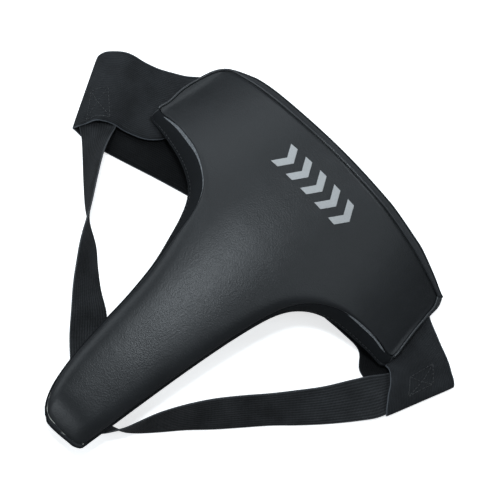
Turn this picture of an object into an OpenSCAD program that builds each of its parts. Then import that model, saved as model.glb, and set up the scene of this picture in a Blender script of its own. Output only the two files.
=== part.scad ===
// Padded groin protector: an arched foam pad on an elastic waistband loop with two
// elastic leg straps. It lies with its front face up (+Z), its waist edge towards +Y
// and its crotch end towards -Y. Origin: underside of the waistband at its back centre.
// Lengths in millimetres, angles in degrees.

/* [Pad outline] */
// Half width of the pad at the lower wing corners
wing_low_x = 139; // [132:0.5:142]
// Half width of the pad at the upper wing corners
wing_top_x = 129; // [124:0.5:132]
// Height of the lower wing corners along Y
wing_low_y = -18.5; // [-20:0.5:-12]
// Height of the upper wing corners along Y
wing_top_y = 54; // [48:0.5:60]
// Top of the waist edge in the middle
waist_y = 67.5; // [64:0.5:78]
// Length of the pad below the belt line
tip_y = 252; // [235:1:265]
// Half width of the crotch strip at its end
tip_half = 27; // [24:0.5:30]
// Half width of the crotch strip where the leg curves begin
strip_half = 40; // [36:0.5:44]

/* [Pad height] */
// Underside of the pad above the table at its middle
arch_lift = 42; // [34:0.5:50]
// Underside of the pad above the table at the wing ends
wing_lift = 7.5; // [7.5:0.5:10]
// Underside of the pad above the table at the crotch end
tip_lift = 20; // [19:0.5:24]
// Thickness of the pad in the middle
middle_thick = 17; // [15:0.5:20]
// Thickness of the pad at the wing ends
wing_thick = 7; // [6.5:0.5:8]
// Thickness of the pad at the crotch end
tip_thick = 11; // [10:0.5:13]

/* [Webbing] */
// Width of the waistband elastic
belt_width = 60; // [50:1:64]
// Width of the leg strap elastic
strap_width = 30; // [24:1:30]
// Thickness of the waistband elastic
belt_thick = 2; // [1.6:0.1:2]
// Thickness of the leg strap elastic
strap_thick = 1.8; // [1.4:0.1:1.8]

/* [Waistband lie] */
// Centre of the left fold, distance to the side
left_fold_x = 191.5; // [186:0.5:198]
// Centre of the left fold, distance down
left_fold_y = 44.5; // [40:0.5:48]
// Droop of the waistband at the left fold
left_droop = 30; // [27:0.5:32]
// Centre of the right fold, distance to the side
right_fold_x = 182.5; // [178:0.5:188]
// Centre of the right fold, distance down
right_fold_y = 19; // [17:0.5:21]
// Droop of the waistband at the right fold
right_droop = 20; // [18:0.5:21]

/* [Hidden] */

leather_black = "#1b1c1f";
lining_black = "#2a2b2e";
elastic_grey = "#3b3d42";
foam_grey = "#6d7076";
foam_pale = "#b9bbb6";
print_grey = "#d7dade";
thread_grey = "#4a4c52";

cover_thick = 1.2;
lining_thick = 1;
gusset_thick = 1.2;
layer_gap = 0.4;
joint_gap = 0.4;
side_bevel = 8;
strip_bevel = 2.5;
wing_bevel = 1.5;
waist_bevel = 6;
piping_width = 2;
comfort_share = 0.36;
hem_width = 2.5;
corner_round = 10;
slope_start = 0;
edge_drop = 3;
columns = 18;

// ---------- outline of the pad ----------
// The side of the pad is one path: tip corner (0 to 1), crotch strip (1 to 2),
// leg curve (2 to 3) and wing end (3 to 4).
curve_start = [strip_half, -130];
curve_pull_low = [strip_half + 8, -62];
curve_pull_high = [strip_half + 20, -30];
curve_end = [wing_low_x, wing_low_y];

function mix(a, b, f) = a + (b - a) * f;
function bezier(f) = pow(1 - f, 3) * curve_start + 3 * f * pow(1 - f, 2) * curve_pull_low
    + 3 * f * f * (1 - f) * curve_pull_high + pow(f, 3) * curve_end;
function tip_corner(f) = [
    tip_half - corner_round * (1 - sin(90 * f)),
    -tip_y + corner_round * (1 - cos(90 * f))
];
function side(t) =
    t < 1 ? tip_corner(max(t, 0))
    : t < 2 ? mix([tip_half, -tip_y + corner_round], curve_start, t - 1)
    : t < 3 ? bezier(t - 2)
    : mix(curve_end, [wing_top_x, wing_top_y], t - 3);
// Height of the middle of the cross line that starts at side(t)
middle_heights = [[0, -tip_y], [1, -tip_y + 12], [2, -132], [3, -8], [4, waist_y]];
function middle_y(t) = lookup(t, middle_heights);

bevels = [[0, strip_bevel], [1.6, strip_bevel], [2.3, side_bevel], [2.8, side_bevel],
    [3, strip_bevel], [3.1, wing_bevel], [4, wing_bevel]];
function side_normal(t) =
    let (d = side(min(t + 0.06, 4)) - side(max(t - 0.06, 0)))
    [d[1], -d[0]] / norm(d);
// Plan position on the cross line t, at share s of the half width, moved in from the edge
function plan(t, s, inset, waist_in) =
    let (edge = side(t) - side_normal(t) * inset, row = middle_y(t) - (t == 0 ? -inset : 0))
    [edge[0] * s, row + (edge[1] - row) * s * s - waist_in * max(0, t - 3)];

// ---------- heights of the pad ----------
function wing_end_x(y) =
    wing_low_x + (wing_top_x - wing_low_x) * (y - wing_low_y) / (wing_top_y - wing_low_y);
function crest(y) =
    arch_lift - (arch_lift - tip_lift) * pow(max(0, slope_start - y) / (slope_start + tip_y), 2);
function across(p) = min(1, abs(p[0]) / wing_end_x(p[1]));
function underside(p) = mix(crest(p[1]), wing_lift, pow(across(p), 2));
function thickness(p) =
    mix(middle_thick, wing_thick, pow(across(p), 3))
    - (middle_thick - tip_thick) * min(1, max(0, -40 - p[1]) / (tip_y - 40));
function topside(p, s) = underside(p) + thickness(p) - edge_drop * s * s * (1 - across(p));

row_steps = concat([0, 0.5], [for (k = [0 : 4]) 1 + k / 5], [for (k = [0 : 9]) 2 + k / 10],
    [for (k = [0 : 4]) 3 + k / 4]);
column_steps = [for (k = [0 : columns]) 2 * k / columns - 1];

// ---------- closed slab between two grids of points ----------
function two_triangles(a, b, c, d) = [[a, b, c], [a, c, d]];
module slab(upper, lower) {
    rows = len(upper) - 1;
    cols = len(upper[0]) - 1;
    row_size = cols + 1;
    below = len(upper) * row_size;
    points = concat([for (row = upper) for (p = row) p], [for (row = lower) for (p = row) p]);
    top_faces = [for (i = [0 : rows - 1]) for (j = [0 : cols - 1])
        let (a = i * row_size + j)
        for (f = two_triangles(a, a + row_size, a + row_size + 1, a + 1)) f];
    bottom_faces = [for (f = top_faces) [f[2] + below, f[1] + below, f[0] + below]];
    end_faces = [for (j = [0 : cols - 1])
        let (a = j, z = rows * row_size + j)
        for (f = concat(two_triangles(a + below, a, a + 1, a + 1 + below),
            two_triangles(z + 1 + below, z + 1, z, z + below))) f];
    side_faces = [for (i = [0 : rows - 1])
        let (a = i * row_size, z = a + cols)
        for (f = concat(two_triangles(a + row_size + below, a + row_size, a, a + below),
            two_triangles(z + below, z, z + row_size, z + row_size + below))) f];
    polyhedron(points, concat(top_faces, bottom_faces, end_faces, side_faces), convexity = 6);
}

// Grid over the pad; share 0 is the underside and 1 the topside, shift moves it up or down
function pad_grid(inset, waist_in, share, shift) = [for (t = row_steps) [for (s = column_steps)
    let (p = plan(t, s, inset == 0 ? 0 : inset + lookup(t, bevels), waist_in))
    [p[0], p[1], mix(underside(p), topside(p, s), share) + shift]]];

// ---------- pad ----------
module front_cover() {
    waist_in = waist_bevel + piping_width + layer_gap;
    color(leather_black)
        slab(pad_grid(0.01, waist_in, 1, 0), pad_grid(0.01, waist_in, 1, -cover_thick));
}

module back_lining() {
    color(lining_black) slab(pad_grid(0, 0, 0, lining_thick), pad_grid(0, 0, 0, 0));
}

module shock_foam() {
    inset = gusset_thick + 1;
    color(foam_grey)
        slab(pad_grid(inset, waist_bevel + 3, 1, -cover_thick - layer_gap),
            pad_grid(inset, waist_bevel + 3, comfort_share, layer_gap));
}

module comfort_foam() {
    inset = gusset_thick + 1;
    color(foam_pale)
        slab(pad_grid(inset, waist_bevel + 3, comfort_share, 0),
            pad_grid(inset, waist_bevel + 3, 0, lining_thick + layer_gap));
}

// Rim of the pad from the middle of the crotch end to the lower wing corner
rim_steps = concat([for (k = [0 : 3]) [0, k / 3]], [for (t = row_steps) if (t > 0 && t <= 3) [t, 1]]);
function rim_low(q, inward) =
    let (p = plan(q[0], q[1], inward, 0)) [p[0], p[1], underside(p) + lining_thick + layer_gap];
function rim_high(q, inward) =
    let (p = plan(q[0], q[1], lookup(q[0], bevels) + inward, 0))
    [p[0], p[1], topside(p, q[1]) - cover_thick - layer_gap];
module leg_gusset() {
    slab([for (q = rim_steps) [rim_high(q, gusset_thick), rim_high(q, 0)]],
        [for (q = rim_steps) [rim_low(q, gusset_thick), rim_low(q, 0)]]);
}
module leg_gusset_right() {
    color(leather_black) leg_gusset();
}
module leg_gusset_left() {
    color(leather_black) mirror([1, 0, 0]) leg_gusset();
}

// Bound edge outside the gusset's lower seam, stopping short of the wing hem
binding_thick = 1.2;
binding_height = 2.4;
module edge_binding() {
    steps = [for (q = rim_steps) if (q[0] < 3) q];
    outs = [layer_gap + binding_thick, layer_gap];
    function edge(q, out, up) =
        let (p = plan(q[0], q[1], -out, 0)) [p[0], p[1], underside(plan(q[0], q[1], 0, 0)) + up];
    slab([for (q = steps) [edge(q, outs[1], binding_height), edge(q, outs[0], binding_height)]],
        [for (q = steps) [edge(q, outs[1], 0), edge(q, outs[0], 0)]]);
}
module edge_binding_right() {
    color(lining_black) edge_binding();
}
module edge_binding_left() {
    color(lining_black) mirror([1, 0, 0]) edge_binding();
}

// Point on the waist edge, moved in from it, between the lining (0) and the cover (1)
function waist_point(s, waist_in, share, shift) =
    let (p = plan(4, s, wing_bevel, waist_in))
    [p[0], p[1], mix(underside(p), topside(p, s), share) + shift];
module waist_gusset() {
    low = lining_thick + layer_gap;
    high = -cover_thick - layer_gap;
    color(leather_black)
        slab([for (in = [waist_bevel + gusset_thick, waist_bevel])
                [for (s = column_steps) waist_point(s, in, 1, high)]],
            [for (in = [gusset_thick, 0]) [for (s = column_steps) waist_point(s, in, 0, low)]]);
}
module waist_piping() {
    rows = [waist_bevel + piping_width, waist_bevel];
    color(leather_black)
        slab([for (in = rows) [for (s = column_steps) waist_point(s, in, 1, 0.2)]],
            [for (in = rows) [for (s = column_steps) waist_point(s, in, 1, -cover_thick)]]);
}

// Hem bar that closes a wing end, just outside the pad outline
module wing_hem() {
    steps = [for (k = [0 : 4]) 3 + k / 4];
    function edge(t, out) = side(t) + side_normal(3.5) * out;
    function top_z(t) = let (p = side(t)) underside(p) + thickness(p);
    slab([for (t = steps) [for (out = [layer_gap, hem_width])
            let (p = edge(t, out)) [p[0], p[1], top_z(t) - out * 0.6]]],
        [for (t = steps) [for (out = [layer_gap, hem_width])
            let (p = edge(t, out)) [p[0], p[1], wing_lift + out * 0.2]]]);
}
module wing_hem_right() {
    color(leather_black) wing_hem();
}
module wing_hem_left() {
    color(leather_black) mirror([1, 0, 0]) wing_hem();
}

// Printed mark: a row of plain chevrons that lies on the cover
mark_count = 5;
mark_pitch = 0.118;
mark_bar = 0.052;
mark_low_t = 3.41;
mark_high_t = 3.73;
mark_rise = 0.4;
mark_gap = 0.15;
function mark_point(t, s, up) =
    let (p = plan(t, s, 0.01 + lookup(t, bevels), waist_bevel + piping_width + layer_gap))
    [p[0], p[1], topside(p, s) + up];
module chevron(s) {
    middle_t = (mark_low_t + mark_high_t) / 2;
    lean = 0.05;
    path = [[mark_low_t, s], [middle_t, s + lean], [mark_high_t, s]];
    slab([for (q = path) [mark_point(q[0], q[1], mark_rise), mark_point(q[0], q[1] + mark_bar, mark_rise)]],
        [for (q = path) [mark_point(q[0], q[1], mark_gap), mark_point(q[0], q[1] + mark_bar, mark_gap)]]);
}
module front_mark() {
    first = -(mark_count - 1) / 2 * mark_pitch - mark_bar;
    color(print_grey)
        for (k = [0 : mark_count - 1]) chevron(first + k * mark_pitch);
}

// Patch sewn under the crotch end, over the leg strap ends
module tip_patch() {
    rows = [-244, -226, -208];
    wide = [-1, 0, 1] * 17;
    color(lining_black)
        slab([for (y = rows) [for (x = wide) [x, y, underside([x, y]) - layer_gap]]],
            [for (y = rows) [for (x = wide) [x, y, underside([x, y]) - 1.2]]]);
}

// ---------- waistband ----------
// Each side of the back run is straight from the back centre and then a level arc that
// ends at the fold. side_sign is -1 on the left and 1 on the right.
function arc_radius(fold_y, droop) = fold_y / (1 - cos(droop));
function arc_start(fold_x, fold_y, droop) = fold_x - arc_radius(fold_y, droop) * sin(droop);
function run_point(fold_x, fold_y, droop, angle, across) =
    let (r = arc_radius(fold_y, droop))
    [arc_start(fold_x, fold_y, droop) + (r + across) * sin(angle), (r + across) * cos(angle) - r];
// Outline of the back run from the line x = start to the fold, drawn on the right side
function run_outline(fold_x, fold_y, droop) = let (half = belt_width / 2) concat(
    [[-80, -half], [-80, half]],
    [for (k = [0 : 8]) run_point(fold_x, fold_y, droop, droop * k / 8, half)],
    [for (k = [8 : -1 : 0]) run_point(fold_x, fold_y, droop, droop * k / 8, -half)]);
function out_dir(droop) = [cos(droop), -sin(droop)];
function along_dir(droop) = [-sin(droop), -cos(droop)];

hinge_left = 25;
hinge_right = 22;
wing_hinge_left = 129.5;
wing_hinge_right = 137.5;
front_z = 5.2;
fold_meet_z = 3.5;
lip_thick = 1.6;
lip_step = 0.05;
lip_trim = 1;
open_pivot_gap = 1.6;

// Everything farther out than distance d along the drooping direction
module beyond(droop, d) {
    rotate([0, 0, -droop]) translate([d, -400]) square([800, 800]);
}
module back_side(fold_x, fold_y, droop, hinge) {
    fold_reach = fold_x * cos(droop) + fold_y * sin(droop);
    shift = -fold_x * sin(droop) + fold_y * cos(droop);
    linear_extrude(belt_thick) intersection() {
        polygon(run_outline(fold_x, fold_y, droop));
        beyond(droop, hinge + joint_gap / 2);
    }
    rotate([0, 0, -droop])
        translate([fold_reach - lip_thick - lip_step, (lip_trim - belt_width) / 2 - shift, lip_step])
            cube([lip_thick, belt_width - lip_trim, fold_meet_z - joint_gap / 2 - lip_step]);
}
module waistband_back_right() {
    color(elastic_grey) back_side(right_fold_x, right_fold_y, right_droop, hinge_right + open_pivot_gap);
}
module waistband_back_left() {
    color(elastic_grey) mirror([1, 0, 0]) back_side(left_fold_x, left_fold_y, left_droop, hinge_left);
}
module waistband_back() {
    color(elastic_grey) linear_extrude(belt_thick) difference() {
        translate([-80, -belt_width / 2]) square([160, belt_width]);
        beyond(right_droop, hinge_right - joint_gap / 2);
        mirror([1, 0]) beyond(left_droop, hinge_left - joint_gap / 2);
    }
}

// Front run from the wing hinge line to the fold; skew is how far its wing end is shifted
// towards the waist edge, measured along the hinge line
module front_side(fold_x, fold_y, droop, wing_hinge, skew, wing_half) {
    fold_reach = fold_x * cos(droop) + fold_y * sin(droop);
    shift = -fold_x * sin(droop) + fold_y * cos(droop);
    half = belt_width / 2;
    rotate([0, 0, -droop]) {
        translate([0, 0, front_z]) linear_extrude(belt_thick)
            polygon([[wing_hinge + joint_gap / 2, -shift + skew - wing_half],
                [wing_hinge + joint_gap / 2, -shift + skew + wing_half],
                [fold_reach, -shift + half], [fold_reach, -shift - half]]);
        lip_corner = [fold_reach - lip_thick - lip_step, lip_trim / 2 - shift - half];
        translate([lip_corner[0], lip_corner[1], fold_meet_z + joint_gap / 2])
            cube([lip_thick, belt_width - lip_trim, front_z - fold_meet_z]);
    }
}
module waistband_front_right() {
    color(elastic_grey)
        front_side(right_fold_x, right_fold_y, right_droop, wing_hinge_right, 8.4, 26.5);
}
module waistband_front_left() {
    color(elastic_grey) mirror([1, 0, 0])
        front_side(left_fold_x, left_fold_y, left_droop, wing_hinge_left, 9.4, 30);
}

// Waistband end sewn under a wing, drawn on the right side
module wing_tab(droop, wing_hinge, corner_top, corner_low) {
    translate([0, 0, front_z]) linear_extrude(belt_thick) difference() {
        polygon([[112, 44], [wing_top_x + 1, 46], corner_top * 1.2, corner_low * 1.2, [120, -14]]);
        beyond(droop, wing_hinge - joint_gap / 2);
    }
}
module wing_tab_right() {
    color(elastic_grey) wing_tab(right_droop, wing_hinge_right, [156.3, 27.3], [138.5, -22]);
}
module wing_tab_left() {
    color(elastic_grey) mirror([1, 0, 0])
        wing_tab(left_droop, wing_hinge_left, [161, 22], [128, -35]);
}

// ---------- leg straps ----------
// Box of stitches on the front run over a strap end
module box_stitch(at, turn) {
    translate([at[0], at[1], front_z + belt_thick + 0.05]) rotate([0, 0, turn])
        linear_extrude(0.5) difference() {
            square([24, 20], center = true);
            square([22, 18], center = true);
        }
}
module box_stitch_left() {
    color(thread_grey) box_stitch([-175, -44], 60);
}
module box_stitch_right() {
    color(thread_grey) box_stitch([166, -20], -70);
}

// Twisted ribbon of webbing: stations are [x, y, lift of the lower edge, twist, width]
function ribbon_frame(stations, k) =
    let (a = stations[max(k - 1, 0)], b = stations[min(k + 1, len(stations) - 1)], q = stations[k],
        d = [b[0] - a[0], b[1] - a[1], 0] / norm([b[0] - a[0], b[1] - a[1]]),
        level = [d[1], -d[0], 0], c = level * cos(q[3]) + [0, 0, sin(q[3])],
        z = q[2] + abs(sin(q[3])) * q[4] / 2 + strap_thick / 2)
    [[q[0], q[1], z], c * q[4] / 2, cross(c, d) * strap_thick / 2];
module ribbon(stations) {
    frames = [for (k = [0 : len(stations) - 1]) ribbon_frame(stations, k)];
    slab([for (f = frames) [f[0] - f[1] + f[2], f[0] + f[1] + f[2]]],
        [for (f = frames) [f[0] - f[1] - f[2], f[0] + f[1] - f[2]]]);
}
// Points from share f0 to share f1 of a strap whose centre line runs a, b, c
function strap_stations(a, b, c, b_share, twists, lifts, widths, f0, f1, count) =
    [for (k = [0 : count])
        let (f = mix(f0, f1, k / count),
            p = f < b_share ? mix(a, b, f / b_share) : mix(b, c, (f - b_share) / (1 - b_share)))
        [p[0], p[1], lookup(f, lifts), lookup(f, twists), lookup(f, widths)]];

// Level end of a leg strap, sewn under the front run beside the fold, that turns
// into the free strap just past the edge of the waistband
tab_z = 3.3;
left_tab = [[-179, -38, tab_z, 0, 24], [-161, -61.5, tab_z, 0, strap_width],
    [-155, -70, 1.4, -28, strap_width], [-153, -72, 0.6, -35, strap_width]];
right_tab = [[169, -12, tab_z, 0, 26], [154, -39, tab_z, 0, strap_width],
    [150.5, -48.4, 1.2, 9, strap_width], [148.9, -50.7, 0.6, 12, strap_width]];
module strap_tab_left() {
    color(elastic_grey) ribbon(left_tab);
}
module strap_tab_right() {
    color(elastic_grey) ribbon(right_tab);
}

left_start = [-152, -73];
left_middle = [-118, -107];
left_end = [2, -218];
left_share = 0.227;
left_twists = [[0, -35], [0.227, -90], [0.36, -118], [0.5, -136], [0.76, -176], [1, -180]];
left_lifts = [[0, 0.3], [0.8, 0.3], [1, 16]];
left_widths = [[0, strap_width], [0.8, strap_width], [1, strap_width - 4]];
right_start = [148, -52];
right_middle = [88, -139];
right_end = [14, -234];
right_share = 0.467;
right_twists = [[0, 12], [0.4, 22], [0.58, 41], [0.74, 60], [0.88, 88], [1, 160]];
right_lifts = [[0, 0.3], [0.9, 0.3], [1, 8]];
right_widths = [[0, strap_width], [0.7, strap_width], [0.88, 17], [1, 15]];
strap_cut = 0.006;

module leg_strap_left_upper() {
    color(elastic_grey) ribbon(strap_stations(left_start, left_middle, left_end, left_share,
        left_twists, left_lifts, left_widths, 0, left_share - strap_cut, 6));
}
module leg_strap_left_lower() {
    color(elastic_grey) ribbon(strap_stations(left_start, left_middle, left_end, left_share,
        left_twists, left_lifts, left_widths, left_share + strap_cut, 1, 14));
}
module leg_strap_right_upper() {
    color(elastic_grey) ribbon(strap_stations(right_start, right_middle, right_end, right_share,
        right_twists, right_lifts, right_widths, 0, right_share - strap_cut, 8));
}
module leg_strap_right_lower() {
    color(elastic_grey) ribbon(strap_stations(right_start, right_middle, right_end, right_share,
        right_twists, right_lifts, right_widths, right_share + strap_cut, 1, 12));
}

front_cover();
front_mark();
waist_piping();
waist_gusset();
leg_gusset_left();
leg_gusset_right();
edge_binding_left();
edge_binding_right();
back_lining();
shock_foam();
comfort_foam();
wing_hem_left();
wing_hem_right();
wing_tab_left();
wing_tab_right();
tip_patch();
waistband_back();
waistband_back_left();
waistband_back_right();
waistband_front_left();
waistband_front_right();
strap_tab_left();
strap_tab_right();
box_stitch_left();
box_stitch_right();
leg_strap_left_upper();
leg_strap_left_lower();
leg_strap_right_upper();
leg_strap_right_lower();
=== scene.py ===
"""Visual model of the padded groin protector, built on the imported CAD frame.

Lengths in the shape code are millimetres, as in the CAD model, and become metres when a
mesh is made. The pad lies front face up (+Z), its waist edge towards +Y.
"""
import math

import bpy
import numpy as np
from mathutils import Matrix, Vector


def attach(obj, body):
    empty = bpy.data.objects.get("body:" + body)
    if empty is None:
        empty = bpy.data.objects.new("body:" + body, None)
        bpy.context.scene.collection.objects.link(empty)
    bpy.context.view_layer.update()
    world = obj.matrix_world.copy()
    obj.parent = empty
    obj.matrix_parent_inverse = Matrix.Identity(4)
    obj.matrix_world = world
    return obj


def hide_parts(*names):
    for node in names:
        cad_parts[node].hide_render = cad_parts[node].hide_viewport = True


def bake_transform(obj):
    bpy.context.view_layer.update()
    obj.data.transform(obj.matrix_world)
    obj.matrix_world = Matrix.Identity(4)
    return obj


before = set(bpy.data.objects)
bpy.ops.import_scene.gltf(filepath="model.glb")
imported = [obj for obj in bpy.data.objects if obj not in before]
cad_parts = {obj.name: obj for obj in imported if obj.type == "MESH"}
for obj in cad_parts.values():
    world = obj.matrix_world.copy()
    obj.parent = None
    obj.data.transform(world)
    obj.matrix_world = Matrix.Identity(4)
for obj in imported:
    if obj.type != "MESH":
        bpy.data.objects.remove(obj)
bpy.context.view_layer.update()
MM = 0.001


# ---------------- small helpers
def lerp(a, b, f):
    return a + (b - a) * f


def smoothstep(low, high, x):
    f = np.clip((np.asarray(x, float) - low) / (high - low), 0, 1)
    return f * f * (3 - 2 * f)


def table(x, rows):
    """Straight-line lookup in rows of (x, value)."""
    rows = np.array(rows, float)
    return np.interp(x, rows[:, 0], rows[:, 1])


def spline(points, where):
    """Points on a Catmull-Rom curve through points, at the given fractional indexes."""
    points = np.array(points, float)
    padded = np.vstack([2 * points[0] - points[1], points, 2 * points[-1] - points[-2]])
    where = np.clip(np.asarray(where, float), 0, len(points) - 1 - 1e-9)
    i = where.astype(int)
    f = (where - i)[:, None]
    a, b, c, d = padded[i], padded[i + 1], padded[i + 2], padded[i + 3]
    return b + 0.5 * f * (c - a + f * (2 * a - 5 * b + 4 * c - d + f * (3 * (b - c) + d - a)))


def smooth_table(x, rows):
    """Lookup in rows of (x, value) along a smooth curve."""
    rows = np.array(rows, float)
    return spline(rows[:, 1:], np.interp(x, rows[:, 0], np.arange(len(rows))))[:, 0]


def unit(v):
    v = np.asarray(v, float)
    return v / np.maximum(np.linalg.norm(v, axis=-1, keepdims=True), 1e-9)


def distance_along(points):
    """Distance along a path from its first point to each of its points."""
    return np.cumsum(np.r_[0, np.linalg.norm(np.diff(points, axis=0), axis=1)])


def point_at(place, run, points):
    """Point of a path at a place, where run says how far along each of its points is."""
    return np.array([np.interp(place, run, points[:, k]) for k in range(3)])


def to_the_right(ahead, up=0.0):
    """Unit vectors square to a path's direction in plan, tipped up by up."""
    return unit(np.c_[ahead[:, 1], -ahead[:, 0], np.full(len(ahead), up)])


def make_object(name, vertices, faces, uvs=None, material=None, body=None, smooth=True):
    """Mesh object from vertices in millimetres; uvs is one (u, v) for each vertex."""
    mesh = bpy.data.meshes.new(name)
    mesh.from_pydata([tuple(v) for v in np.asarray(vertices, float) * MM], [], faces)
    if uvs is not None:
        layer = mesh.uv_layers.new(name="UVMap")
        corners = np.empty(len(mesh.loops), int)
        mesh.loops.foreach_get("vertex_index", corners)
        layer.data.foreach_set("uv", np.asarray(uvs, float)[corners].astype(np.float32).ravel())
    mesh.polygons.foreach_set("use_smooth", [smooth] * len(mesh.polygons))
    mesh.update()
    obj = bpy.data.objects.new(name, mesh)
    bpy.context.scene.collection.objects.link(obj)
    if material is not None:
        mesh.materials.append(material)
    if body is not None:
        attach(obj, body)
    return obj


def grid_faces(rows, cols, flip=False):
    faces = []
    for i in range(rows - 1):
        for j in range(cols - 1):
            a = i * cols + j
            quad = (a, a + 1, a + cols + 1, a + cols)
            faces.append(quad[::-1] if flip else quad)
    return faces


def border(rows, cols):
    """Grid indexes once round the edge of a grid."""
    return (list(range(cols)) + [i * cols + cols - 1 for i in range(1, rows)]
            + [(rows - 1) * cols + j for j in range(cols - 2, -1, -1)]
            + [i * cols for i in range(rows - 2, 0, -1)])


def slab_faces(rows, cols, base=0):
    """Faces of a closed slab: an upper grid that starts at base, and a lower one after it."""
    size = rows * cols
    upper = [tuple(base + v for v in f) for f in grid_faces(rows, cols)]
    faces = upper + [tuple(v + size for v in reversed(f)) for f in upper]
    loop = [base + v for v in border(rows, cols)]
    for a, b in zip(loop, loop[1:] + loop[:1]):
        faces.append((a, a + size, b + size, b))
    return faces


def soften(obj, thick):
    """Give a sheet its thickness and round its facets."""
    thickness = obj.modifiers.new("thickness", "SOLIDIFY")
    thickness.thickness = thick * MM
    thickness.offset = -1
    smooth = obj.modifiers.new("smooth", "SUBSURF")
    smooth.levels = 1
    smooth.render_levels = 2


# ---------------- materials
class Nodes:
    """Short way to build a material's node tree."""

    def __init__(self, name):
        self.material = bpy.data.materials.new(name)
        self.material.use_nodes = True
        self.tree = self.material.node_tree
        self.shader = self.tree.nodes["Principled BSDF"]

    def add(self, kind, **settings):
        node = self.tree.nodes.new(kind)
        for key, value in settings.items():
            if key in node.inputs.keys():
                node.inputs[key].default_value = value
            else:
                setattr(node, key, value)
        return node

    def mix(self, factor, source, color):
        """The source colour, or the fixed colour where factor is 1."""
        node = self.add("ShaderNodeMix", data_type="RGBA")
        self.link(factor, node.inputs[0])
        self.link(source, node.inputs[6])
        node.inputs[7].default_value = (*color, 1)
        return node.outputs[2]

    def link(self, source, target):
        self.tree.links.new(source, target)

    def position(self):
        return self.add("ShaderNodeTexCoord").outputs["Object"]

    def noise(self, vector, scale, detail=4.0, roughness=0.55):
        node = self.add("ShaderNodeTexNoise", Scale=scale, Detail=detail, Roughness=roughness)
        self.link(vector, node.inputs["Vector"])
        return node.outputs["Fac"]

    def cells(self, vector, scale, feature="F1", randomness=1.0):
        node = self.add("ShaderNodeTexVoronoi", feature=feature, Scale=scale, Randomness=randomness)
        self.link(vector, node.inputs["Vector"])
        return node.outputs["Distance"]

    def math(self, operation, a, b=None):
        node = self.add("ShaderNodeMath", operation=operation)
        for socket, value in zip(node.inputs, (a, b)):
            if value is None:
                continue
            if isinstance(value, (int, float)):
                socket.default_value = value
            else:
                self.link(value, socket)
        return node.outputs[0]

    def spread(self, value, low, high):
        """Value from 0 to 1 mapped to low..high."""
        node = self.add("ShaderNodeMapRange")
        node.inputs["To Min"].default_value = low
        node.inputs["To Max"].default_value = high
        self.link(value, node.inputs["Value"])
        return node.outputs["Result"]

    def tint(self, value, dark, light):
        node = self.add("ShaderNodeMix", data_type="RGBA")
        node.inputs[6].default_value = (*dark, 1)
        node.inputs[7].default_value = (*light, 1)
        self.link(value, node.inputs[0])
        return node.outputs[2]

    def bump(self, height, distance, strength=1.0, after=None):
        node = self.add("ShaderNodeBump", Distance=distance, Strength=strength)
        self.link(height, node.inputs["Height"])
        if after is not None:
            self.link(after, node.inputs["Normal"])
        return node.outputs["Normal"]

    def finish(self, color=None, roughness=None, normal=None, **sockets):
        for name, value in (("Base Color", color), ("Roughness", roughness), ("Normal", normal)):
            if value is None:
                continue
            if isinstance(value, (int, float, tuple)):
                self.shader.inputs[name].default_value = value
            else:
                self.link(value, self.shader.inputs[name])
        for name, value in sockets.items():
            self.shader.inputs[name.replace("_", " ")].default_value = value
        return self.material


def leather(name, dark, light, rough, grain_depth, shine):
    """Satin synthetic leather: fine pebble grain, soft hand-sized unevenness, faint scuffs."""
    n = Nodes(name)
    place = n.position()
    pebble = n.cells(place, 900, "SMOOTH_F1")
    uneven = n.noise(place, 26, 3)
    scuff = n.noise(place, 170, 6, 0.7)
    color = n.tint(n.math("MULTIPLY", uneven, n.spread(scuff, 0.7, 1.2)), dark, light)
    roughness = n.math("ADD", n.spread(uneven, *rough), n.spread(scuff, -0.03, 0.05))
    wavy = n.bump(uneven, 0.0012, 0.35)
    grain = n.bump(n.math("ADD", pebble, n.math("MULTIPLY", scuff, 0.6)), grain_depth, 0.5, wavy)
    return n.finish(color, roughness, grain, Specular_IOR_Level=shine)


def webbing(name, dark, light, rib_pitch, diagonal, depth, half_width, shine, edge_highlight_tone=3.0):
    """Woven elastic: ribs along the strap crossed by fine diagonal or square picks.

    The mesh's UVs are in millimetres: u along the strap, v across it up to half_width, where
    the last 0.6 mm is painted edge_highlight_tone times as light: a painted highlight on the rounded
    selvedge.
    """
    n = Nodes(name)
    uv = n.add("ShaderNodeUVMap", uv_map="UVMap").outputs["UV"]
    split = n.add("ShaderNodeSeparateXYZ")
    n.link(uv, split.inputs[0])
    along, over = split.outputs[0], split.outputs[1]
    turn = 2 * math.pi
    jitter = n.math("MULTIPLY", n.noise(n.position(), 420, 2), 0.9)
    ribs = n.math("SINE", n.math("ADD", n.math("MULTIPLY", over, turn / rib_pitch), jitter))
    slope = n.math("ADD", n.math("MULTIPLY", along, turn / 1.15),
                   n.math("MULTIPLY", over, diagonal * turn / rib_pitch))
    picks = n.math("SINE", n.math("ADD", slope, jitter))
    weave = n.math("ADD", n.math("MULTIPLY", ribs, 0.6), n.math("MULTIPLY", picks, 0.4))
    weave = n.spread(n.math("MULTIPLY", n.math("ADD", weave, 1), 0.5), 0, 1)
    fuzz = n.noise(n.position(), 1500, 4, 0.7)
    worn = n.noise(n.position(), 45, 3)
    tone = n.math("MULTIPLY", n.math("ADD", weave, n.math("MULTIPLY", fuzz, 0.7)), worn)
    # Painted highlight: the outer 0.6 mm of each edge is painted lighter
    selvedge = n.math("GREATER_THAN", n.math("ABSOLUTE", over), half_width - 0.6)
    edge_highlight_color = [edge_highlight_tone * channel for channel in light]
    color = n.mix(n.math("MULTIPLY", selvedge, 0.8), n.tint(tone, dark, light), edge_highlight_color)
    rough = n.spread(weave, 0.72, 0.55)
    normal = n.bump(n.math("ADD", weave, n.math("MULTIPLY", fuzz, 0.5)), depth, 0.8)
    return n.finish(color, rough, normal, Specular_IOR_Level=shine)


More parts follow.
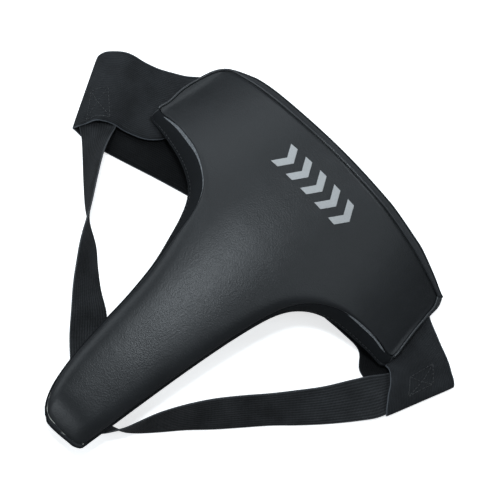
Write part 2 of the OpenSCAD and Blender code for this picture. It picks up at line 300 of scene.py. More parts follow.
def knit(name, dark, light):
    """Matt knitted lining: small offset loops."""
    n = Nodes(name)
    place = n.position()
    loops = n.cells(place, 750, randomness=0.25)
    worn = n.noise(place, 30, 4)
    color = n.tint(n.math("MULTIPLY", loops, n.spread(worn, 0.6, 1.4)), dark, light)
    normal = n.bump(loops, 0.0005, 0.6, n.bump(worn, 0.001, 0.3))
    return n.finish(color, n.spread(worn, 0.75, 0.9), normal, Specular_IOR_Level=0.25,
                    Sheen_Weight=0.2)


def foam(name, dark, light, cell_scale):
    n = Nodes(name)
    place = n.position()
    hole = n.cells(place, cell_scale)
    color = n.tint(n.math("MULTIPLY", hole, n.spread(n.noise(place, 60), 0.7, 1.3)), dark, light)
    return n.finish(color, 0.85, n.bump(hole, 0.0006, 0.8), Specular_IOR_Level=0.2)


def ink(name):
    """Screen-printed ink over leather grain: slightly broken, slightly raised."""
    n = Nodes(name)
    place = n.position()
    speck = n.noise(place, 900, 5, 0.75)
    broad = n.noise(place, 60, 3)
    color = n.tint(n.math("MULTIPLY", speck, n.spread(broad, 0.9, 1.3)),
                   (0.3, 0.305, 0.305), (0.46, 0.465, 0.465))
    return n.finish(color, n.spread(speck, 0.38, 0.55), n.bump(speck, 0.0002, 0.5),
                    Specular_IOR_Level=0.4)


def yarn(name, dark, light):
    n = Nodes(name)
    place = n.position()
    twist = n.add("ShaderNodeTexWave", wave_type="BANDS", bands_direction="DIAGONAL",
                  Scale=900, Distortion=1.5)
    n.link(place, twist.inputs["Vector"])
    color = n.tint(twist.outputs["Fac"], dark, light)
    return n.finish(color, 0.6, n.bump(twist.outputs["Fac"], 0.0002, 0.6), Sheen_Weight=0.2)


# Colours are linear: the darkest and the lightest tone of each material
COVER = leather("cover_leather", (0.0085, 0.0093, 0.0103), (0.0165, 0.018, 0.0198),
                rough=(0.35, 0.43), grain_depth=0.0002, shine=0.34)
# Painted shade: the leg gussets and their edge bindings take this darker copy of the leather, standing in
# for shade on walls turned away from the lamps
SHADED_GUSSET = leather("gusset_leather", (0.006, 0.0066, 0.0074), (0.012, 0.0132, 0.0147),
                 rough=(0.7, 0.78), grain_depth=0.00026, shine=0.08)
# Painted light: the waist gusset and wing hems take this lighter copy of the leather, standing in for the
# light those walls catch
LEATHER_PAINTED_LIGHT = leather("waist_leather_painted_light", (0.012, 0.0132, 0.0148), (0.03, 0.0325, 0.036),
                        rough=(0.4, 0.5), grain_depth=0.0003, shine=0.5)
# Partly painted highlight: the piping beads are coloured lighter than the cover so that the seams show
# bright lines; their gloss is real
PIPING_PAINTED_HIGHLIGHT = leather("piping_leather_painted_highlight", (0.012, 0.0132, 0.0148), (0.03, 0.0325, 0.036),
                 rough=(0.3, 0.4), grain_depth=0.00016, shine=0.5)
LINING = knit("lining_knit", (0.004, 0.0045, 0.0055), (0.02, 0.0215, 0.0245))
BELT_HALF, STRAP_HALF = 30.0, 15.0
BELT = webbing("belt_elastic", (0.0012, 0.0014, 0.0018), (0.027, 0.0295, 0.033),
               rib_pitch=1.5, diagonal=0.5, depth=0.0004, half_width=BELT_HALF, shine=0.2)
# Painted shade: a darker copy of the belt elastic for its inner faces, standing in for the shade inside
# the folded loop and under the wings
BELT_PAINTED_SHADE = webbing("belt_elastic_inside_painted_shade", (0.0005, 0.0006, 0.0008), (0.008, 0.0088, 0.01),
                      rib_pitch=1.5, diagonal=0.5, depth=0.0004, half_width=BELT_HALF, shine=0.12)
STRAP = webbing("strap_elastic", (0.0016, 0.0018, 0.0022), (0.037, 0.0392, 0.0423),
                rib_pitch=2.1, diagonal=0.0, depth=0.0005, half_width=STRAP_HALF, shine=0.17,
                edge_highlight_tone=1.5)
INK = ink("print_ink")
THREAD = yarn("sewing_thread", (0.002, 0.0022, 0.0025), (0.025, 0.027, 0.03))
DENSE_FOAM = foam("dense_foam", (0.08, 0.085, 0.09), (0.2, 0.21, 0.22), 700)
SOFT_FOAM = foam("soft_foam", (0.3, 0.3, 0.27), (0.6, 0.6, 0.55), 420)


# ---------------- outline of the pad
# t runs up each side: 0 crotch end, 1 strip, 2 leg curve, 3 wing corner, 4 wing top.
# Rows: t, distance from the middle, y of the lining seam, then how far the cover seam lies
# nearer the middle and nearer the waist
RIGHT_SIDE = [
    (0.0, 20, -252, 0.3, 0.4), (0.5, 25.5, -249, 0.4, 0.4), (1.0, 27, -240, 0.5, 0),
    (1.25, 30, -214, 0.5, 0), (1.5, 33.5, -183, 0.5, 0), (1.75, 38, -146, 0.5, 0),
    (2.0, 43.5, -108, 0.5, 0), (2.2, 49.5, -77.5, 0.6, 0.3), (2.35, 55.5, -60, 1, 0.8),
    (2.5, 64, -47.5, 1.5, 2.5), (2.65, 76, -38, 1.5, 5.5), (2.8, 94, -31, 1.5, 9),
    (2.9, 122, -25.5, 1.5, 10.5), (2.97, 134.5, -24, 1.2, 9.5), (3.0, 139.5, -22.5, 1, 8.5),
    (3.03, 141, -17, 1, 6.5), (3.25, 139.5, -2, 1.2, 3), (3.5, 137.5, 15, 1.5, 1),
    (3.75, 136.5, 34, 2.5, 0), (3.9, 136, 46, 3.5, 0), (4.0, 132.5, 53, 4, 0),
]
LEFT_SIDE = [
    (0.0, 8, -253.5, 0.3, 0.4), (0.5, 17, -247, 0.4, 0.4), (1.0, 25, -232, 0.5, 0),
    (1.25, 31, -206, 0.5, 0), (1.5, 34.5, -175, 0.5, 0), (1.75, 37.5, -140, 0.5, 0),
    (2.0, 42.5, -109, 1, 0.5), (2.2, 50, -84, 3, 2), (2.35, 56.5, -66, 5.5, 4),
    (2.5, 64, -52, 6, 8), (2.65, 74.5, -41.5, 5, 10), (2.8, 93, -32, 2.5, 12.5),
    (2.9, 118, -24.5, 1.5, 11.5), (2.97, 132, -21.5, 1.2, 9.5), (3.0, 139, -20.5, 1, 8.5),
    (3.03, 141.5, -17, 1, 7.5), (3.25, 140, -4, 1.2, 4), (3.5, 140.5, 14, 1.2, 1.5),
    (3.75, 138.5, 31, 1.2, 0), (3.9, 135, 47, 1.5, 0), (4.0, 131, 54.5, 1.5, 0),
]
# y along the middle line at each t
MIDDLE = [(0, -254.5), (1, -238), (2, -110), (2.35, -70), (2.65, -38), (3, -8), (4, 66.5)]
# Across the waist from left (-1) to right (1): share, y of the lining seam, cover seam inset
WAIST_EDGE = [
    (-1, 54.5, 2.5), (-0.96, 59.5, 4), (-0.87, 63.5, 7.5), (-0.78, 66.5, 10), (-0.66, 67.5, 11),
    (-0.4, 67.5, 11.5), (0, 68, 11.5), (0.4, 68, 11.5), (0.7, 64.8, 10.5), (0.88, 59, 7.5), (1, 54, 4),
]
# Share of the pad's thickness that the cover rolls down over, by t, on each side
ROLL_RIGHT = [
    (0, 0.93), (0.6, 0.9), (1.1, 0.64), (1.8, 0.62), (2.1, 0.5), (2.35, 0.36), (2.5, 0.22),
    (2.7, 0.12), (3.5, 0.08), (3.75, 0.3), (4, 0.35),
]
ROLL_LEFT = [
    (0, 0.93), (0.6, 0.9), (1.1, 0.64), (1.9, 0.66), (2.1, 0.45), (2.3, 0.2), (2.7, 0.12),
    (4, 0.08),
]
# How far in from the side seams and from the crotch end the cover begins to roll down
SIDE_ROLL_REACH, TIP_ROLL_REACH = 12.0, 24.0
# Wing end in plan and distance to the crotch end, then lift and thickness of the pad
WING_LOW = np.array([137.0, -14.5])
WING_TOP = np.array([128.0, 55.0])
TIP_Y = 252.0
ARCH_LIFT, WING_LIFT, TIP_LIFT = 42.0, 7.5, 20.0
MIDDLE_THICK, WING_THICK, TIP_THICK = 17.0, 7.0, 11.0
# Distance below the belt line from which the crotch strip thins towards its end
THINNING_START = 40.0
# Fall of the strip's cover from its middle to its sides, then how much lower all of the cover
# starts before filling, and how much lower again its waist edge is
CROWN_FALL, SEAM_DROP, WAIST_GROOVE = 2.2, 0.3, 0.9
# How far the middle of the cover stops short of the lining at the crotch end
TIP_COVER_INSET = 3.0
# Outward bulge of the side wall before filling, and the wall height that gets all of it
WALL_BULGE, FULL_BULGE_HEIGHT = 1.2, 5.0


def side_at(side, t, on_cover):
    """Distance from the middle and y of one side's lining seam, or of its cover seam."""
    side = np.array(side, float)
    points = spline(side[:, 1:], np.interp(t, side[:, 0], np.arange(len(side))))
    if on_cover:
        return points[:, 0] - points[:, 2], points[:, 1] + points[:, 3]
    return points[:, 0], points[:, 1]


def plan(t, s, on_cover):
    """Plan grid of the cover or of the lining: rows t up the pad, columns s across it."""
    right_x, right_y = side_at(RIGHT_SIDE, t, on_cover)
    left_x, left_y = side_at(LEFT_SIDE, t, on_cover)
    middle = smooth_table(t, MIDDLE) + (TIP_COVER_INSET * np.clip(1 - t, 0, 1) if on_cover else 0)
    square = s[None] ** 2
    x = s[None] * (right_x + left_x)[:, None] / 2 + square * (right_x - left_x)[:, None] / 2
    y = (middle[:, None] + s[None] * (right_y - left_y)[:, None] / 2
         + square * ((right_y + left_y) / 2 - middle)[:, None])
    edge = np.array(WAIST_EDGE, float)
    waist = np.interp(s, edge[:, 0], edge[:, 1])
    if on_cover:
        waist = waist - np.interp(s, edge[:, 0], edge[:, 2])
    # the last row becomes the waist edge, and the rows above the wing corner lead up to it
    return x, y + np.clip(t - 3, 0, 1)[:, None] * (waist - y[-1])[None]


def share_across(x, y):
    """0 on the pad's middle line, 1 at the wing ends."""
    end = WING_LOW[0] + (WING_TOP[0] - WING_LOW[0]) * (y - WING_LOW[1]) / (WING_TOP[1] - WING_LOW[1])
    return np.minimum(1.0, np.abs(x) / end)


def underside(x, y):
    crest = ARCH_LIFT - (ARCH_LIFT - TIP_LIFT) * (np.maximum(0, -y) / TIP_Y) ** 2
    return lerp(crest, WING_LIFT, share_across(x, y) ** 2)


def thickness(x, y):
    across = share_across(x, y)
    return (lerp(MIDDLE_THICK, WING_THICK, across ** 3)
            - (MIDDLE_THICK - TIP_THICK)
            * np.clip((-THINNING_START - y) / (TIP_Y - THINNING_START), 0, 1))


def topside(x, y, s):
    fall = CROWN_FALL * np.abs(s) ** 2.5 * (1 - share_across(x, y))
    return underside(x, y) + thickness(x, y) - fall


def spaced(total, step, close):
    """Places from 0 to total, about step apart, and at the distances in close from each end."""
    inner = np.linspace(close[-1], total - close[-1], max(2, round((total - 2 * close[-1]) / step)))
    return np.r_[0, close[:-1], inner, total - np.array(close[:-1])[::-1], total]


def even_rows(step, close):
    """Values of t that are evenly spaced along the pad's sides."""
    t = np.linspace(0, 4, 2001)
    sides = [np.stack(side_at(side, t, False), -1) for side in (RIGHT_SIDE, LEFT_SIDE)]
    length = sum(np.linalg.norm(np.diff(side, axis=0), axis=1) for side in sides) / 2
    run = np.r_[0, np.cumsum(length)]
    return np.interp(spaced(run[-1], step, close), run, t)


# Rows run from the crotch end to the waist edge, columns across; both are closer at the rim
GRID_STEP, CROSS_LINE = 5.0, 200.0
ROWS = even_rows(GRID_STEP, [1.2, 4.0])
COLUMNS = 1 - 2 * spaced(CROSS_LINE, GRID_STEP, [0.8, 2.6, 5.6])[::-1] / CROSS_LINE
R, C = len(ROWS), len(COLUMNS)


def pad_surfaces():
    """The closed pad before it is filled: cover and lining grids."""
    x, y = plan(ROWS, COLUMNS, True)
    half = np.abs(x[:, [0, -1]]).mean(axis=1)
    near_side = np.clip(1 - (1 - np.abs(COLUMNS)[None]) * half[:, None] / SIDE_ROLL_REACH, 0, 1)
    near_tip = np.clip(1 - (y - y[0]) / TIP_ROLL_REACH, 0, 1)
    fall_side = 1 - np.sqrt(1 - near_side ** 2)
    share = np.where(COLUMNS[None] > 0, table(ROWS, ROLL_RIGHT)[:, None], table(ROWS, ROLL_LEFT)[:, None])
    roll = share * thickness(x, y) * lerp(fall_side, 1, near_tip ** 2)
    groove = WAIST_GROOVE * (np.arange(R) == R - 1)[:, None]
    top = np.stack([x, y, topside(x, y, COLUMNS[None]) - SEAM_DROP - roll - groove], -1)
    x, y = plan(ROWS, COLUMNS, False)
    low = np.stack([x, y, underside(x, y)], -1)
    return top, low


def rim_indexes():
    """Grid indexes once round the rim, from the middle of the crotch end, anticlockwise."""
    half = C // 2
    path = [(0, j) for j in range(half, C)] + [(i, C - 1) for i in range(1, R)]
    path += [(R - 1, j) for j in range(C - 2, -1, -1)] + [(i, 0) for i in range(R - 2, -1, -1)]
    path += [(0, j) for j in range(1, half)]
    return np.array(path)


# Shares of the way down the side wall that have a row of points
WALL_STEPS = (0.22, 0.5, 0.78)
FILL_PRESSURE, FILL_FRAMES, MOVE_CAP = 4, 20, 3.2


def filled_pad():
    """Cover, wall and lining after the filling has pushed them out between the seams."""
    top, low = pad_surfaces()
    rim = rim_indexes()
    n_rim = len(rim)
    high_loop, low_loop = top[rim[:, 0], rim[:, 1]], low[rim[:, 0], rim[:, 1]]
    ahead = np.roll(low_loop, -1, 0) - np.roll(low_loop, 1, 0)
    outward = to_the_right(ahead)
    height = np.linalg.norm(high_loop - low_loop, axis=1)[:, None]
    bulge = WALL_BULGE * np.clip(height / FULL_BULGE_HEIGHT, 0, 1) ** 2
    walls = [lerp(high_loop, low_loop, f) + outward * bulge * math.sin(math.pi * f) for f in WALL_STEPS]
    vertices = np.vstack([top.reshape(-1, 3), low.reshape(-1, 3)] + walls)
    flat = rim[:, 0] * C + rim[:, 1]
    loops = [flat] + [2 * R * C + k * n_rim + np.arange(n_rim) for k in range(len(walls))] + [flat + R * C]
    faces = grid_faces(R, C) + [tuple(v + R * C for v in f) for f in grid_faces(R, C, True)]
    for upper, lower in zip(loops[:-1], loops[1:]):
        for k in range(n_rim):
            m = (k + 1) % n_rim
            faces.append((upper[k], lower[k], lower[m], upper[m]))
    moved = vertices
    moved = inflate(vertices, faces, np.r_[flat, flat + R * C])
    top = moved[:R * C].reshape(R, C, 3)
    low = moved[R * C:2 * R * C].reshape(R, C, 3)
    walls = [moved[2 * R * C + k * n_rim:2 * R * C + (k + 1) * n_rim] for k in range(len(walls))]
    return top, low, walls, rim


def inflate(vertices, faces, pinned):
    """Points after a cloth run with air pressure and pinned seams; their movement is capped."""
    obj = make_object("pad_filling", vertices, [tuple(int(v) for v in f) for f in faces])
    seams = obj.vertex_groups.new(name="seams")
    seams.add([int(v) for v in pinned], 1.0, "REPLACE")
    cloth = obj.modifiers.new("Cloth", "CLOTH")
    settings = dict(quality=6, mass=0.4, tension_stiffness=40, compression_stiffness=40,
                    shear_stiffness=20, bending_stiffness=2.5, use_pressure=True,
                    uniform_pressure_force=FILL_PRESSURE, vertex_group_mass="seams")
    for key, value in settings.items():
        setattr(cloth.settings, key, value)
    cloth.settings.effector_weights.gravity = 0
    cloth.point_cache.frame_start = 1
    cloth.point_cache.frame_end = FILL_FRAMES
    scene = bpy.context.scene
    for step in range(1, FILL_FRAMES + 1):
        scene.frame_set(step)
    shaped = obj.evaluated_get(bpy.context.evaluated_depsgraph_get())
    points = np.empty(len(vertices) * 3)
    shaped.data.vertices.foreach_get("co", points)
    scene.frame_set(1)
    bpy.data.objects.remove(obj)
    move = points.reshape(-1, 3) / MM - vertices
    size = np.linalg.norm(move, axis=1, keepdims=True)
    print("filling moved up to", round(float(size.max()), 2), "mm")
    return vertices + move / np.maximum(size, 1e-9) * MOVE_CAP * np.tanh(size / MOVE_CAP)


PAD_TOP, PAD_LOW, PAD_WALLS, RIM = filled_pad()


# ---------------- pieces of the pad
COVER_THICK, LINING_THICK, WALL_THICK = 1.1, 0.9, 1.0
# The wall stops this far short of each seam; its UV map takes it to be this high
SEAM_GAP, WALL_UV_HEIGHT = 0.2, 14
PIPING_RADIUS, HEM_RADIUS, BINDING_RADIUS = 1.05, 1.1, 0.9


def sheet_piece(name, grid, material, replaces, thick, faces_up=True):
    rows, cols = grid.shape[:2]
    run = distance_along(grid[:, cols // 2])
    uvs = np.stack([np.broadcast_to(run[:, None], (rows, cols)), grid[..., 0]], -1).reshape(-1, 2)
    obj = make_object(name, grid.reshape(-1, 3), grid_faces(rows, cols, not faces_up), uvs,
                      material, "pad")
    soften(obj, thick)
    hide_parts(replaces)


sheet_piece("pad_front_cover", PAD_TOP, COVER, "front_cover", COVER_THICK)
sheet_piece("pad_back_lining", PAD_LOW, LINING, "back_lining", LINING_THICK, False)


def rim_part(first, last):
    """Rim positions whose grid index lies from first to last, going anticlockwise."""
    rim = [tuple(p) for p in RIM]
    a, b = rim.index(first), rim.index(last)
    if b <= a:
        b += len(rim)
    return [k % len(rim) for k in range(a, b + 1)]


def seam_points(grid, steps):
    """The edge points of the cover or of the lining at some of the rim's positions."""
    return grid[RIM[steps, 0], RIM[steps, 1]]


def wall_piece(name, steps, replaces, material):
    """Side wall between the cover and the lining over part of the rim."""
    upper = seam_points(PAD_TOP, steps) - np.array([0, 0, SEAM_GAP])
    lower = seam_points(PAD_LOW, steps) + np.array([0, 0, SEAM_GAP])
    middle = [wall[steps] for wall in PAD_WALLS]
    near_top, near_low = lerp(upper, middle[0], 0.2), lerp(middle[-1], lower, 0.8)
    grid = np.stack([upper, near_top] + middle + [near_low, lower])
    run = distance_along(lower)
    uvs = np.stack([np.broadcast_to(run[None], grid.shape[:2]),
                    np.broadcast_to(np.linspace(0, WALL_UV_HEIGHT, len(grid))[:, None],
                                    grid.shape[:2])], -1)
    obj = make_object(name, grid.reshape(-1, 3), grid_faces(len(grid), len(steps), True),
                      uvs.reshape(-1, 2), material, "pad")
    soften(obj, WALL_THICK)
    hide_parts(replaces)


# The leg gussets end at the row nearest to the lower wing corner
LOW_ROW = int(np.argmin(np.abs(ROWS - 3.02)))
TOP_ROW = R - 1
right_leg = rim_part((0, C // 2), (LOW_ROW, C - 1))
right_wing = rim_part((LOW_ROW, C - 1), (TOP_ROW, C - 1))
waist = rim_part((TOP_ROW, C - 1), (TOP_ROW, 0))
left_wing = rim_part((TOP_ROW, 0), (LOW_ROW, 0))
left_leg = rim_part((LOW_ROW, 0), (0, C // 2))
wall_piece("pad_gusset_leg_right", right_leg, "leg_gusset_right", SHADED_GUSSET)
wall_piece("pad_hem_wing_right", right_wing, "wing_hem_right", LEATHER_PAINTED_LIGHT)
wall_piece("pad_gusset_waist", waist, "waist_gusset", LEATHER_PAINTED_LIGHT)
wall_piece("pad_hem_wing_left", left_wing, "wing_hem_left", LEATHER_PAINTED_LIGHT)
wall_piece("pad_gusset_leg_left", left_leg, "leg_gusset_left", SHADED_GUSSET)


def tube(name, path, radius, material, body):
    """Round bead along a path, closed at both ends."""
    sides = 8
    path = np.asarray(path, float)
    ahead = unit(np.gradient(path, axis=0))
    level = unit(np.cross(ahead, [0, 0, 1.0]))
    up = np.cross(level, ahead)
    angle = np.arange(sides) * 2 * math.pi / sides
    ring = (level[:, None] * np.cos(angle)[None, :, None]
            + up[:, None] * np.sin(angle)[None, :, None]) * radius
    points = (path[:, None] + ring).reshape(-1, 3)
    faces = []
    for i in range(len(path) - 1):
        for j in range(sides):
            a, b = i * sides + j, i * sides + (j + 1) % sides
            faces.append((a, a + sides, b + sides, b))
    faces += [tuple(range(sides)), tuple((len(path) - 1) * sides + j for j in reversed(range(sides)))]
    run = distance_along(path)
    uvs = np.stack([np.repeat(run, sides), np.tile(angle, len(path))], -1)
    return make_object(name, points, faces, uvs, material, body)


def rim_line(steps, share, out, up):
    """Line along the wall: share 0 at the cover seam, 1 at the lining seam, moved out and up."""
    upper, lower = seam_points(PAD_TOP, steps), seam_points(PAD_LOW, steps)
    ahead = np.gradient(lower, axis=0)
    outward = to_the_right(ahead)
    line = lerp(upper, lower, share) + outward * out + np.array([0, 0, up])
    fine = np.linspace(0, len(line) - 1, 2 * len(line))
    return spline(line, fine)


piping = tube("pad_waist_piping", rim_line(waist, 0.0, 1.3, 0.6), PIPING_RADIUS, PIPING_PAINTED_HIGHLIGHT,
              "pad")
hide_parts("waist_piping")
for side_name, steps in (("right", right_wing), ("left", left_wing)):
    tube(f"pad_hem_piping_{side_name}", rim_line(steps, 0.0, 0.8, 0.2), HEM_RADIUS, PIPING_PAINTED_HIGHLIGHT,
         "pad")
for side_name, steps in (("right", right_leg), ("left", left_leg)):
    binding = tube(f"pad_edge_binding_{side_name}", rim_line(steps, 1.0, 0.0, 0.5),
                   BINDING_RADIUS, SHADED_GUSSET, "pad")
    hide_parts(f"edge_binding_{side_name}")
tube("pad_edge_binding_waist", rim_line(waist, 1.0, 0.1, 0.5), BINDING_RADIUS, LINING,
     "pad")


# ---------------- foam inside the pad
LINING_SKIN, COVER_SKIN, FOAM_GAP, COMFORT_SHARE = 1.4, 1.9, 0.25, 0.3
# Rows and columns by which the foam stops short of the seams
FOAM_INSET = 2


def foam_slab(name, low_share, high_share, material, replaces):
    """Closed foam slab between the lining and the cover; shares run up through the foam."""
    inner = slice(FOAM_INSET, -FOAM_INSET)
    low, high = PAD_LOW[inner, inner], PAD_TOP[inner, inner]
    length = np.linalg.norm(high - low, axis=-1, keepdims=True)
    start, end = LINING_SKIN / length, 1 - COVER_SKIN / length
    gap = FOAM_GAP / length
    faces_at = [lerp(low, high, lerp(start, end, share) + side * gap)
                for share, side in ((high_share, -1), (low_share, 1))]
    obj = make_object(name, np.vstack([grid.reshape(-1, 3) for grid in faces_at]),
                      slab_faces(*low.shape[:2]), None, material, "pad")
    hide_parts(replaces)


foam_slab("pad_shock_foam", COMFORT_SHARE, 1.0, DENSE_FOAM, "shock_foam")
foam_slab("pad_comfort_foam", 0.0, COMFORT_SHARE, SOFT_FOAM, "comfort_foam")


# ---------------- printed mark
MARK_T = (3.41, 3.73)
INK_TOP, INK_UNDER = 0.22, -0.15


def cover_point(row, column, lift):
    """Point on the filled cover at fractional grid indexes, lifted along its normal."""
    def surface(r, c):
        r, c = min(max(r, 0), R - 1.001), min(max(c, 0), C - 1.001)
        i, j = int(r), int(c)
        f, g = r - i, c - j
        low = lerp(PAD_TOP[i, j], PAD_TOP[i, j + 1], g)
        high = lerp(PAD_TOP[i + 1, j], PAD_TOP[i + 1, j + 1], g)
        return lerp(low, high, f)
    p = surface(row, column)
    n = np.cross(surface(row, column + 0.5) - p, surface(row + 0.5, column) - p)
    return p + n / np.linalg.norm(n) * lift


def printed_mark():
    """A row of plain chevrons, where the real guard has its printed mark.

    MARK_T says where it lies up the pad. Pitch, bar and lean are shares of the half width.
    """
    row_low, row_high = np.interp(MARK_T, ROWS, np.arange(R))
    count, pitch, bar, lean = 5, 0.118, 0.052, 0.05
    vertices, faces = [], []
    across, upward = 6, 12
    for k in range(count):
        start = -(count - 1) / 2 * pitch - bar + k * pitch
        base = len(vertices)
        for layer in (INK_TOP, INK_UNDER):
            for u in range(upward + 1):
                f = u / upward
                bend = start + lean * (1 - abs(2 * f - 1))
                for v in range(across + 1):
                    s = bend + bar * v / across
                    column = np.interp(s, COLUMNS, np.arange(C))
                    vertices.append(cover_point(lerp(row_low, row_high, f), column, layer))
        faces += slab_faces(upward + 1, across + 1, base)
    obj = make_object("pad_printed_mark", vertices, faces, None, INK, "pad", smooth=False)
    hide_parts("front_mark")


printed_mark()


# ---------------- webbing
def ribbon_sheet(edges, where, cup, ripple):
    """Middle sheet of a ribbon: edges are rows of (top edge xyz, bottom edge xyz)."""
    edges = np.array(edges, float)
    both = spline(edges, where)
    upper, lower = both[:, :3], both[:, 3:]
    across = np.linspace(-1, 1, 17)
    middle, half = (upper + lower) / 2, (upper - lower) / 2
    ahead = np.gradient(middle, axis=0)
    normal = unit(np.cross(ahead, half))
    bow = (1 - across ** 2)[None] * cup(where)[:, None] + ripple(where, across)
    points = middle[:, None] + half[:, None] * across[None, :, None] + normal[:, None] * bow[..., None]
    return points, across


def ribbon(name, edges, first, last, thick, material, slot, total_run, body=None, cup=None,
           ripple=None, caps=(True, True), density=6):
    """Woven strap between two fractional indexes of edges, with rounded selvedges."""
    cup = cup or (lambda w: np.zeros_like(w))
    ripple = ripple or (lambda w, a: np.zeros((len(w), len(a))))
    count = max(3, int(round((last - first) * density)) + 1)
    where = np.linspace(first, last, count)
    step = 1e-3
    points, across = ribbon_sheet(edges, where, cup, ripple)
    ahead_points, _ = ribbon_sheet(edges, where + step, cup, ripple)
    back_points, _ = ribbon_sheet(edges, where - step, cup, ripple)
    normal = unit(np.cross(ahead_points - back_points, np.gradient(points, axis=1)))
    # a quarter thinner, but only at the very edge
    half_thick = thick / 2 * (1 - 0.25 * np.abs(across) ** 12)[None, :, None]
    top, low = points + normal * half_thick, points - normal * half_thick
    out = unit(points[:, -1] - points[:, 0]) * thick * 0.22
    ring = np.concatenate([top, (points[:, -1] + out)[:, None], low[:, ::-1],
                           (points[:, 0] - out)[:, None]], axis=1)
    sides = ring.shape[1]
    v = np.r_[across, 1.02, across[::-1], -1.02]
    run = total_run(where)
    nominal = BELT_HALF if material is BELT else STRAP_HALF
    uvs = np.stack([np.broadcast_to(run[:, None], (count, sides)),
                    np.broadcast_to(nominal * v[None], (count, sides))], -1)
    faces, shaded_inside = [], []
    for i in range(count - 1):
        for j in range(sides):
            a, b = i * sides + j, i * sides + (j + 1) % sides
            faces.append((a, b, b + sides, a + sides))
            # the right run is drawn the other way, so its inner face is the lower half
            in_upper_half = j < len(across) - 1
            in_lower_half = len(across) < j < sides - 2
            shaded_inside.append(in_lower_half if edges is BELT_RIGHT else in_upper_half)
    vertices = ring.reshape(-1, 3)
    uvs = uvs.reshape(-1, 2)
    for is_last, wanted in ((False, caps[0]), (True, caps[1])):
        if not wanted:
            continue
        start = len(vertices)
        ring_index = count - 1 if is_last else 0
        vertices = np.vstack([vertices, ring[ring_index]])
        uvs = np.vstack([uvs, uvs[ring_index * sides:(ring_index + 1) * sides]])
        for j in range(len(across) - 1):
            k = 2 * len(across) - j
            quad = (start + j, start + j + 1, start + k - 1, start + k)
            faces.append(quad if is_last else quad[::-1])
        edge_low = (start + len(across) - 1, start + len(across), start + len(across) + 1)
        edge_high = (start + sides - 2, start + sides - 1, start)
        for tri in (edge_low, edge_high):
            faces.append(tri if is_last else tri[::-1])
    obj = make_object(name, vertices, faces, uvs, material, body)
    # inner faces take the darker copy: painted shade inside the loop
    if material is BELT:
        obj.data.materials.append(BELT_PAINTED_SHADE)
        shown = shaded_inside + [False] * (len(faces) - len(shaded_inside))
        obj.data.polygons.foreach_set("material_index", [int(inside) for inside in shown])
    return obj


def run_length(edges):
    """Function from fractional index to distance along the middle of the ribbon."""
    where = np.linspace(0, len(edges) - 1, 400)
    both = spline(edges, where)
    middle = (both[:, :3] + both[:, 3:]) / 2
    run = distance_along(middle)
    return lambda w: np.interp(w, where, run)


# Waistband edges from under each wing, round the fold and back to the middle of the back:
# waist-side edge x, y, z, then leg-side edge x, y, z
BELT_LEFT = [
    (-108, 42, 6.3, -112, -10, 6.3), (-127, 44, 6.3, -118, -19, 6.3), (-139, 36, 6.4, -122.5, -28, 6.4),
    (-151, 26, 5.0, -132, -37, 5.4), (-164.5, 17, 5.0, -145, -43, 6.0), (-177, 10, 8.5, -157, -48, 9.8),
    (-190, 5, 11.8, -166.5, -55, 11.8), (-201, -1, 8.4, -172, -63.5, 8.2), (-208, -8, 6.2, -175, -70, 6.0),
    (-210, -14.5, 3.6, -177, -73, 3.4), (-207.5, -16, 1.3, -175, -72.5, 1.2),
    (-194.5, -13, 1.0, -159, -71, 1.0), (-158, 0.5, 1.0, -134.5, -63, 1.0),
    (-110, 16.5, 1.0, -95.5, -49, 1.0), (-63.3, 27, 1.0, -56, -36.5, 1.0),
    (-25.5, 30, 1.0, -25.5, -30.5, 1.0), (0, 30, 1.0, 0, -30, 1.0),
]
# Index of the fold, and of the cuts between pieces before and after it
LEFT_FOLD, LEFT_CUT_FRONT, LEFT_CUT_BACK = 9.0, 5.0, 13.0
BELT_RIGHT = [
    (108, 42, 6.3, 112, -10, 6.3), (127, 41, 6.3, 127, -14, 6.3), (138, 34, 7.0, 138, -20.5, 6.6),
    (154, 27, 8.6, 146.5, -22, 9.0), (170, 20.5, 9.2, 154, -28.6, 10.5), (182, 15, 8.0, 160.6, -37.7, 8.5),
    (187.5, 12.5, 6.1, 166.7, -44.6, 6.1), (191, 10, 3.6, 170.7, -48.4, 3.4),
    (189, 9.5, 1.3, 167.5, -45.8, 1.3),
    (174.5, 13.5, 1.0, 149.5, -40, 1.0), (146, 22.5, 1.0, 130, -38, 1.0),
    (116.7, 27.4, 1.0, 116.5, -26.5, 1.0), (93, 29.5, 1.0, 95.5, -26.5, 1.0),
    (74.7, 30, 1.0, 68, -29, 1.0), (35.6, 30, 1.0, 13.8, -30, 1.0), (33.2, 30, 1.0, 11.4, -30, 1.0),
    (0, 30, 1.0, 0, -30, 1.0),
]
RIGHT_FOLD, RIGHT_CUT_FRONT, RIGHT_CUT_BACK = 7.0, 4.0, 10.0
BACK_CENTRE, OPEN_CREASE, RIGHT_RUN_END = 16, 15, 14.9
LAP_START, LAP_END, LAP_THICK = 13.92, 15.1, 1.1
BELT_THICK, STRAP_THICK = 1.7, 1.6


def belt_ripple(fold, sign):
    """Slack elastic is never quite flat: shallow waves on the free front run."""
    def ripple(where, across):
        free = smoothstep(1.0, 2.6, where) * (1 - smoothstep(fold - 2.2, fold - 0.6, where))
        wave = (np.sin(where[:, None] * 2.3 + across[None] * 2.1 * sign) * 0.55
                + np.sin(where[:, None] * 4.1 - across[None] * 3.4) * 0.28)
        return wave * free[:, None]
    return ripple


def belt_cup(fold, depth):
    """Hollow across the free front run."""
    return lambda where: depth * smoothstep(1, 3, where) * (1 - smoothstep(fold - 2, fold - 0.5, where))


LEFT_LIE = dict(cup=belt_cup(LEFT_FOLD, -1.5), ripple=belt_ripple(LEFT_FOLD, 1))
RIGHT_LIE = dict(cup=belt_cup(RIGHT_FOLD, -1.2), ripple=belt_ripple(RIGHT_FOLD, -1))


